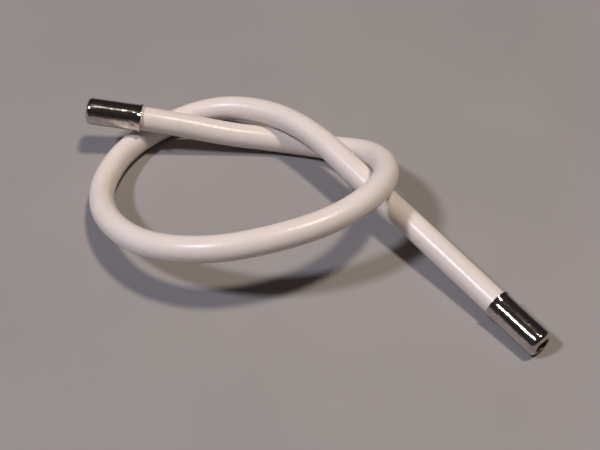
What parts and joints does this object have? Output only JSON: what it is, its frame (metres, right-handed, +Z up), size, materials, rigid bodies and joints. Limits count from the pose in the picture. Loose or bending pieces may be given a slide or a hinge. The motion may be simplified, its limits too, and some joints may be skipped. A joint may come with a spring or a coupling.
{
  "type": "ignition lead",
  "caption": "High-tension ignition lead: white silicone cable tied in a loose overhand knot, with a bright metal socket cap crimped on each end to push onto an electrode pin.",
  "frame": {"origin": "under the middle of the knotted lead, on the surface that it lies on", "axes": "+X along the lead's longest side, +Y across it towards the far strand of the knot, +Z up"},
  "size_m": [0.1239, 0.0894, 0.0259],
  "materials": {
    "white_silicone": "satin",
    "glass_fibre": "woven",
    "core_silicone": "satin",
    "tinned_copper": "drawn",
    "nickel_plate": "polished",
    "contact_brass": "bright",
    "spring_steel": "satin"
  },
  "bodies": {
    "lead": {"jacket": "white_silicone", "glass_braid": "glass_fibre", "core_insulation": "core_silicone", "conductor": "tinned_copper", "terminal_cap_a": "nickel_plate", "contact_sleeve_a": "contact_brass", "spring_ring_a": "spring_steel", "core_barrel_a": "contact_brass", "terminal_cap_b": "nickel_plate", "contact_sleeve_b": "contact_brass", "spring_ring_b": "spring_steel", "core_barrel_b": "contact_brass"}
  },
  "joints": []
}
